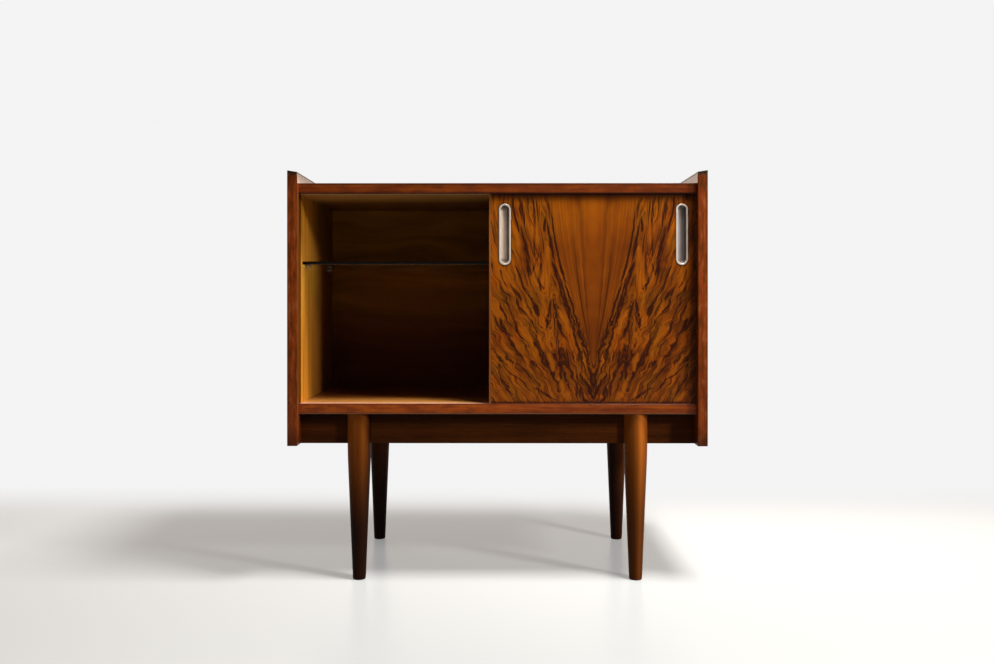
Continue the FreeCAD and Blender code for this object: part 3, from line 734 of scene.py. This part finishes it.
def satinMetal(node, body):
    # drawn metal: fine brush lines up and down; the rim, in front of the door's face, is painted bright as a
    # highlight; the recess has painted shade along one side and at its ends
    paint, (x, y, z) = startMaterial(node + "_metal")
    look = metalLook
    face = millimetres(body + "_panel")[0][1]
    middle = middleAndHalf(node, 0)[0]
    level, half = middleAndHalf(node, 2)
    hand = "left" if node.endswith("left") else "right"
    brush, patch = [paint.noise((x, y, z), look[key]) for key in ("brush", "patch")]
    rim = (y - face + patch - noiseMean).smooth(*look["rimEdge"])
    cup = look[hand + "Cup"]
    colour = patch.smooth(*look["rubbed"]).mix(rim.mix(cup, look["rim"]), cup)
    dull = (x - middle + patch * look["ragged"]).smooth(*look[hand])
    ends = abs(z - level) - half
    # painted shade in the recess, along one side and at its ends
    dull = dull.most(ends.smooth(*look["ends"])) * (1.0 - rim)
    roughness = look["cupRoughness"] + rim * (look["rimRoughness"] - look["cupRoughness"])
    return paint.surfaced(paint.principled({
        "Base Color": dull.mix(colour, look["tarnish"]),
        "Metallic": look["cupMetal"] + rim * (look["rimMetal"] - look["cupMetal"]),
        "Roughness": roughness + (brush - noiseMean) * look["uneven"],
        "Normal": paint.relief(brush, look["bump"], look["depth"]),
    }))


def shelfGlass(name):
    # clear sheet with a faint green body and a little dust; light passes through to what is below; the lower
    # front arris is ground dull
    paint, (x, y, z) = startMaterial(name)
    look = glassLook
    shelfFront, shelfUnder = millimetres("glass_shelf")[0][1:]
    front = (y - shelfFront).smooth(*look["front"])
    arris = (z - shelfUnder).smooth(*look["arris"]) * front
    smear = paint.noise((x, y, z), look["smears"], brokenNoise)
    sheet = paint.principled({
        "Base Color": front.mix(look["body"], look["edge"]),
        "Roughness": smear.smooth(*look["smear"]),
        "IOR": look["ior"],
        "Transmission Weight": 1.0,
    })
    ground = paint.principled({"Base Color": look["ground"], "Roughness": look["groundRoughness"]})
    through = paint.node("ShaderNodeBsdfTransparent", {"Color": look["through"]})
    shadow = paint.node("ShaderNodeLightPath", out="Is Shadow Ray")
    return paint.surfaced(shadow.between(arris.between(sheet, ground), through))


def plainSteel(name):
    # bright and dull patches of one noise, which also roughens the surface
    paint, place = startMaterial(name)
    look = steelLook
    dull = paint.noise(place, look["grain"])
    return paint.surfaced(paint.principled({
        "Base Color": dull.mix(look["dull"], look["bright"]),
        "Metallic": 1.0,
        "Roughness": look["roughness"] * (1.0 + dull),
        "Normal": paint.relief(dull, look["bump"], look["depth"]),
    }))


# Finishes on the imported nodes

finishes = {
    "left_side_panel": sideWood("left_side_wood"),
    "right_side_panel": sideWood("right_side_wood"),
    "top_panel": panelWood("top_wood", ceilingUnder, ceilingVeneer),
    "bottom_panel": panelWood("bottom_wood", floorTop, floorVeneer),
    "back_panel": backWoods("back_board"),
    "glass_shelf": shelfGlass("shelf_glass"),
    "right_door_panel": figuredVeneer("right_door"),
    "left_door_panel": figuredVeneer("left_door"),
    "top_lipping": edgeWood("top_edge_walnut", "top_lipping", topEdge),
    "bottom_lipping": edgeWood("bottom_edge_walnut", "bottom_lipping", bottomEdge),
    "bottom_track_rail": railWood("bottom_rail_hardwood", hardwood, floorUnder),
    "top_track_rail": railWood("top_rail_hardwood", paleHardwood, topUpper),
}
shared = [
    (stileWood("upright_edge_walnut"), ["left_front_stile", "right_front_stile"]),
    (stripWood("side_top_walnut"), ["left_side_top_lipping", "right_side_top_lipping"]),
    (plainWood("door_edge_wood", 2, lippingWood), ["right_door_lippings", "left_door_lippings"]),
    (plainWood("block_hardwood", 0, hardwood), ["apron_glue_blocks", "carcass_dowels", "apron_dowels"]),
    (apronWood("apron_stain"), ["front_apron", "rear_apron"]),
    (plainSteel("pin_steel"), ["shelf_pins", "leg_screws", "back_panel_nails"]),
]
for material, members in shared:
    finishes.update({member: material for member in members})
for name, material in finishes.items():
    nodes[name].data.materials.clear()
    nodes[name].data.materials.append(material)
print("finishes:", len(set(finishes.values())), "on", len(finishes), "nodes")


# Pieces drawn as surfaces

sharpAngle = math.radians(32)  # edges turned further than this stay sharp
samePlace = 6  # decimals of a metre; points that agree to these are one


def placed(name, data):
    # an object of this data, in the scene
    thing = bpy.data.objects.new(name, data)
    bpy.context.scene.collection.objects.link(thing)
    return thing


def drawPiece(name, places, material, body):
    # places is a grid of points, rows by columns; columns close on themselves; points that meet are joined,
    # a face that lost one side becomes a triangle, and the sign of the volume turns all faces outwards
    rows, columns = places.shape[:2]
    row, column = np.meshgrid(np.arange(rows - 1), np.arange(columns), indexing="ij")
    after = (column + 1) % columns
    steps = [(row, column), (row, after), (row + 1, after), (row + 1, column)]
    corners = np.stack([down * columns + along for down, along in steps], axis=-1).reshape(-1, 4)
    flat = places.reshape(-1, 3)
    first, joined = np.unique(np.round(flat, samePlace), axis=0, return_index=True, return_inverse=True)[1:]
    points = flat[first]
    quads = joined.reshape(-1)[corners]
    lost = quads == np.roll(quads, -1, axis=1)
    whole = quads[lost.sum(axis=1) == 0]
    bent = lost.sum(axis=1) == 1
    triangles = quads[bent][~lost[bent]].reshape(-1, 3)
    fans = np.concatenate([triangles, whole[:, [0, 1, 2]], whole[:, [0, 2, 3]]])
    volume = np.einsum("ij,ij->", points[fans[:, 0]], np.cross(points[fans[:, 1]], points[fans[:, 2]]))
    turn = 1 if volume > 0 else -1
    mesh = bpy.data.meshes.new(name)
    mesh.from_pydata(points.tolist(), [], whole[:, ::turn].tolist() + triangles[:, ::turn].tolist())
    mesh.polygons.foreach_set("use_smooth", np.ones(len(mesh.polygons), dtype=bool))
    mesh.set_sharp_from_angle(angle=sharpAngle)
    mesh.materials.append(material)
    piece = placed(name, mesh)
    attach(piece, body)
    return piece


legShape = {"foot": 0.0125, "taper": 0.252, "blend": 0.035, "footRound": 0.0025, "around": 96,
            "roundSteps": 9, "taperSteps": 12, "blendSteps": 21}
# pale is painted light on one side of a leg; the shade colour is painted shade
legWood = toned(outerWalnut, (116, 56, 10), (150, 76, 17), (170, 92, 25), pore=srgb(50, 22, 4),
                pale=srgb(205, 112, 40), shade=srgb(36, 14, 4), shadeHeight=(320.0, 85.0),
                bands=(0.0035, 0.16), streaks=(0.01, 0.7), waver=10.0, bandShare=0.75, poreShare=0.3,
                streakShare=0.2, gloss=0.02, coat=0.18, coatRoughness=0.34)
legLooks = {  # the whole leg's painted light or shade and its share, the foot's share of painted shade, then two sides of painted light and shade: place across, reach, share
    "leg_front_left": (("shade", 0.32), 1.0, {"pale": (-0.75, 0.8, 0.8), "shade": (1.0, 0.35, 1.0)}),
    "leg_front_right": (("light", 0.24), 0.7, {"pale": (0.38, 0.42, 0.85), "shade": (-0.35, 0.4, 0.45)}),
    "leg_rear_left": (("shade", 0.4), 1.0, {"pale": (0.3, 0.4, 0.1), "shade": (-0.6, 0.9, 0.2)}),
    "leg_rear_right": (("shade", 0.32), 0.9, {"pale": (0.8, 0.8, 0.45), "shade": (-0.6, 0.9, 0.9)}),
}


def legTone(node):
    # walnut along the leg, with painted shade towards the foot; each leg is painted lighter or darker as a
    # whole, and lighter on one side and darker on the other, told apart by the distance from the leg's axis
    # over its radius there
    paint, (x, y, z) = startMaterial(node + "_wood")
    (stain, share), footShade, sides = legLooks[node]
    middle, top = middleAndHalf(node, 0)
    foot, taper = legShape["foot"] * perMetre, legShape["taper"] * perMetre
    radius = foot + (z / taper).least(1.0) * (top - foot)
    aside = (x - middle) / radius
    colour, height, streaks = woodTone(paint, z, x, y, legWood)
    # painted light or shade on the whole leg, painted light and shade on its sides, painted shade towards the
    # foot
    colour = (streaks * legWood["streakShare"] + share).mix(colour, legWood[stain])
    for tint, side in sides.items():
        colour = aside.bell(*side).mix(colour, legWood[tint])
    colour = z.smooth(*legWood["shadeHeight"], footShade).mix(colour, legWood["shade"])
    facing = paint.node("ShaderNodeLayerWeight", out="Facing")
    return lacquered(paint, colour, height, streaks, legWood, (1.0 - facing) * legWood["coat"])


def legProfile(top, length):
    # radius and height from the foot's centre up: a rounded edge, a straight taper, a parabola that turns it
    # upright, a cylinder
    foot, taper, blend, edge = [legShape[key] for key in ("foot", "taper", "blend", "footRound")]
    slope = (top - foot) / taper
    turn = np.linspace(0.0, math.pi / 2, legShape["roundSteps"])
    straight = np.linspace(edge, taper - blend, legShape["taperSteps"])[1:]
    curved = np.linspace(taper - blend, taper + blend, legShape["blendSteps"])[1:]
    height = np.concatenate([[0.0], edge * (1 - np.cos(turn)), straight, curved, [length]])
    bend = np.clip(height - taper + blend, 0.0, 2 * blend)
    radius = np.minimum(foot + slope * height - slope * bend ** 2 / (4 * blend), top)
    radius[1:1 + len(turn)] -= edge * (1 - np.sin(turn))
    radius[0] = 0.0
    return radius, height


def drawLeg(node, material):
    # the profile turned about the leg's axis; above the apron's lower edge the leg is flat against the apron
    low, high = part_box(node)
    apronLow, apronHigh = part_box("front_apron" if "front" in node else "rear_apron")
    side = -1 if "front" in node else 1
    top = (high.x - low.x) / 2
    axisX = (low.x + high.x) / 2
    axisY = low.y + top if side < 0 else high.y - top
    apronFace = apronLow.y if side < 0 else apronHigh.y
    radius, height = legProfile(top, high.z)
    step = np.searchsorted(height, apronLow.z)
    level = np.interp(apronLow.z, height, radius)
    radius = np.concatenate([radius[:step], [level, level], radius[step:]])
    height = np.concatenate([height[:step], [apronLow.z, apronLow.z], height[step:]])
    angle = np.linspace(0.0, 2 * math.pi, legShape["around"], endpoint=False)
    x = axisX + radius[:, None] * np.cos(angle)
    y = axisY + radius[:, None] * np.sin(angle)
    places = np.stack(np.broadcast_arrays(x, y, height[:, None]), axis=-1)
    upper = places[step + 1:, :, 1]
    upper[:] = side * np.maximum(side * upper, side * apronFace)
    cap = np.broadcast_to([axisX, apronFace + side * top / 2, high.z], (1, legShape["around"], 3))
    piece = drawPiece("turned_" + node, np.concatenate([places, cap]), material, "carcass")
    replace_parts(piece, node)


pullShape = {"rim": 0.0034, "proud": 0.0008, "edge": 0.0005, "depth": 0.0055, "wall": 0.0007, "draft": 0.0024,
             "corner": 0.0012, "straight": 19, "bend": 32, "roundSteps": 6}


def pullProfile(reach):
    # inward distance from the outline and height above the door's face: the cup's underside and outer wall,
    # the rim with both edges rounded, the sloping inner wall, a rounded corner and the floor
    sizes = ("rim", "proud", "edge", "depth", "wall", "draft", "corner")
    rim, proud, edge, depth, wall, draft, corner = [pullShape[key] for key in sizes]
    turn = np.linspace(0.0, math.pi / 2, pullShape["roundSteps"])
    outside = [(reach, -depth - wall), (rim + draft - wall, -depth - wall), (rim - wall, 0.0), (0.0, 0.0)]
    over = [(edge - edge * math.cos(t), proud - edge + edge * math.sin(t)) for t in turn]
    under = [(rim - edge + edge * math.sin(t), proud - edge + edge * math.cos(t)) for t in turn]
    foot = [(rim + draft + corner * (1 - math.cos(t)), -depth + corner * (1 - math.sin(t))) for t in turn]
    return np.array(outside + over + under + foot + [(reach, -depth)])


def drawPull(node, material, body):
    # the profile carried round an oblong: a spine between the two end centres, and the way out from it
    low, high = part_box(node)
    reach = (high.x - low.x) / 2
    half = (high.z - low.z) / 2 - reach
    straight, bend = pullShape["straight"], pullShape["bend"]
    turn = np.linspace(0.0, math.pi, bend, endpoint=False)
    climb = np.linspace(-half, half, straight, endpoint=False)
    spine = np.concatenate([climb, np.full(bend, half), -climb, np.full(bend, -half)])
    angle = np.concatenate([np.zeros(straight), turn, np.full(straight, math.pi), turn + math.pi])
    inward, rise = pullProfile(reach).T
    out = reach - inward[:, None]
    x = (low.x + high.x) / 2 + out * np.cos(angle)
    y = low.y + pullShape["proud"] - rise[:, None]
    z = (low.z + high.z) / 2 + spine + out * np.sin(angle)
    places = np.stack(np.broadcast_arrays(x, y, z), axis=-1)
    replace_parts(drawPiece("cast_" + node, places, material, body), node)


for node in [n for n in nodes if n in legLooks]:
    drawLeg(node, legTone(node))
for body in ("right_door", "left_door"):
    for node in (body + "_pull_left", body + "_pull_right"):
        drawPull(node, satinMetal(node, body), body)
print("pieces drawn")


# Floor, background and light

stageLook = {  # tone, fade and clear are distances on the floor in millimetres
    "near": srgb(184, 184, 180), "far": srgb(214, 214, 210), "bounce": srgb(86, 84, 82),
    "tone": (-600.0, 400.0), "fade": (300.0, 800.0), "clear": (1200.0, 2600.0), "halfWidth": 4.0,
    "roughness": 0.25, "gloss": 0.2, "glow": 0.28, "white": (1, 1, 1, 1), "backdrop": 0.9, "fill": 0.08,
    "glossColour": srgb(255, 234, 216), "glossFront": 0.12, "dim": (-0.6, 0.2),
}
scrimLook = {"gap": 0.012, "share": 0.3, "overhang": 0.002}
lampLook = {  # place, aim, width, depth, power, and whether it shows in reflections
    "top": ((0.6, -0.5, 2.3), (0.3, -0.42, 0.3), 0.6, 0.5, 92.0, True),
    "side": ((1.65, -1.2, 1.3), (-0.2, -0.2, 0.5), 0.2, 0.3, 23.0, True),
    "front": ((0.0, -2.7, 0.4), (-0.15, 0.0, 0.55), 1.6, 0.8, 2.0, False),
    "rear": ((-1.3, 2.2, 1.5), (0.0, 0.2, 0.5), 0.8, 0.8, 7.0, False),
}
seenBy = ("Is Camera Ray", "Is Glossy Ray", "Is Transmission Ray")


def levelSheet(name, left, right, front, back, height):
    # one level face between four lines
    corners = [(left, front, height), (right, front, height), (right, back, height), (left, back, height)]
    mesh = bpy.data.meshes.new(name)
    mesh.from_pydata(corners, [], [(0, 1, 2, 3)])
    return placed(name, mesh)


def layFloor():
    # a level sheet; past the fade it is plain white to the camera, so that no horizon shows
    reach = stageLook["halfWidth"]
    floor = levelSheet("floor", -reach, reach, -reach, reach, 0.0)
    paint, (x, y, z) = startMaterial("floor_paint")
    camera, glossy, transmitted = paint.node("ShaderNodeLightPath", out=seenBy)
    seen = camera.most(glossy).most(transmitted)
    colour = y.smooth(*stageLook["tone"]).mix(stageLook["near"], stageLook["far"])
    pale = paint.principled({
        "Base Color": seen.mix(stageLook["bounce"], colour),
        "Roughness": stageLook["roughness"],
        "Specular IOR Level": stageLook["gloss"],
    })
    bright = {"Color": stageLook["white"], "Strength": stageLook["backdrop"]}
    white = paint.node("ShaderNodeEmission", bright)
    around = (x ** 2.0 + y ** 2.0) ** 0.5
    far = y.smooth(*stageLook["fade"]).most(around.smooth(*stageLook["clear"]))
    far = stageLook["glow"] + far * (1.0 - stageLook["glow"])
    floor.data.materials.append(paint.surfaced((far * seen).between(pale, white)))


def hangScrim():
    # a level net close above the cabinet, unseen, that passes a share of the lamp overhead, so that the top
    # is lit about as the front is
    low, high = cadBox
    share = scrimLook["share"]
    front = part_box("top_lipping")[0].y - scrimLook["overhang"]
    scrim = levelSheet("scrim", low[0], high[0], front, high[1], high[2] + scrimLook["gap"])
    for sight in ("camera", "glossy", "transmission", "diffuse"):
        setattr(scrim, "visible_" + sight, False)
    paint = startMaterial("scrim_net")[0]
    net = paint.node("ShaderNodeBsdfTransparent", {"Color": (share, share, share, 1)})
    scrim.data.materials.append(paint.surfaced(net))


def lightWorld():
    # white to the camera and in reflections, dimmer towards the camera's side; a soft even fill for the rest
    world = bpy.data.worlds.new("studio")
    world.use_nodes = True
    world.node_tree.nodes.clear()
    paint = Shade(world.node_tree)
    direction = paint.node("ShaderNodeTexCoord", out="Generated")
    toBack = paint.node("ShaderNodeSeparateXYZ", {0: direction}, out="Y")
    camera, glossy, transmitted = paint.node("ShaderNodeLightPath", out=seenBy)
    mirrored = toBack.smooth(*stageLook["dim"], 1.0 - stageLook["glossFront"]) + stageLook["glossFront"]
    shown = glossy.most(transmitted)
    unseen = shown * mirrored + (1.0 - shown) * stageLook["fill"]
    strength = camera * stageLook["backdrop"] + (1.0 - camera) * unseen
    colour = shown.mix(stageLook["white"], stageLook["glossColour"])
    sky = paint.node("ShaderNodeBackground", {"Color": colour, "Strength": strength})
    paint.node("ShaderNodeOutputWorld", {"Surface": sky}, out=())
    bpy.context.scene.world = world


def hangLamp(name, place, aim, width, depth, power, mirrored):
    # a rectangle of light at place, turned to shine at aim
    lamp = bpy.data.lights.new(name, "AREA")
    lamp.shape = "RECTANGLE"
    lamp.size = width
    lamp.size_y = depth
    lamp.energy = power
    thing = placed(name, lamp)
    thing.location = place
    thing.visible_glossy = mirrored
    thing.rotation_euler = (Vector(aim) - Vector(place)).to_track_quat("-Z", "Y").to_euler()


layFloor()
hangScrim()
lightWorld()
for name, settings in lampLook.items():
    hangLamp(name, *settings)

cameraLook = {"place": (0.0085, -2.0699, 0.5458), "turn": 0.0048, "lens": 35.63, "sensor": 36.0,
              "shiftY": -0.0347}
lens = bpy.data.cameras.new("camera")
lens.lens = cameraLook["lens"]
lens.sensor_width = cameraLook["sensor"]
lens.shift_y = cameraLook["shiftY"]
camera = placed("camera", lens)
camera.location = cameraLook["place"]
camera.rotation_euler = (math.pi / 2, 0.0, cameraLook["turn"])
bpy.context.scene.camera = camera
bpy.context.scene.view_settings.view_transform = "Standard"
print("stage set")
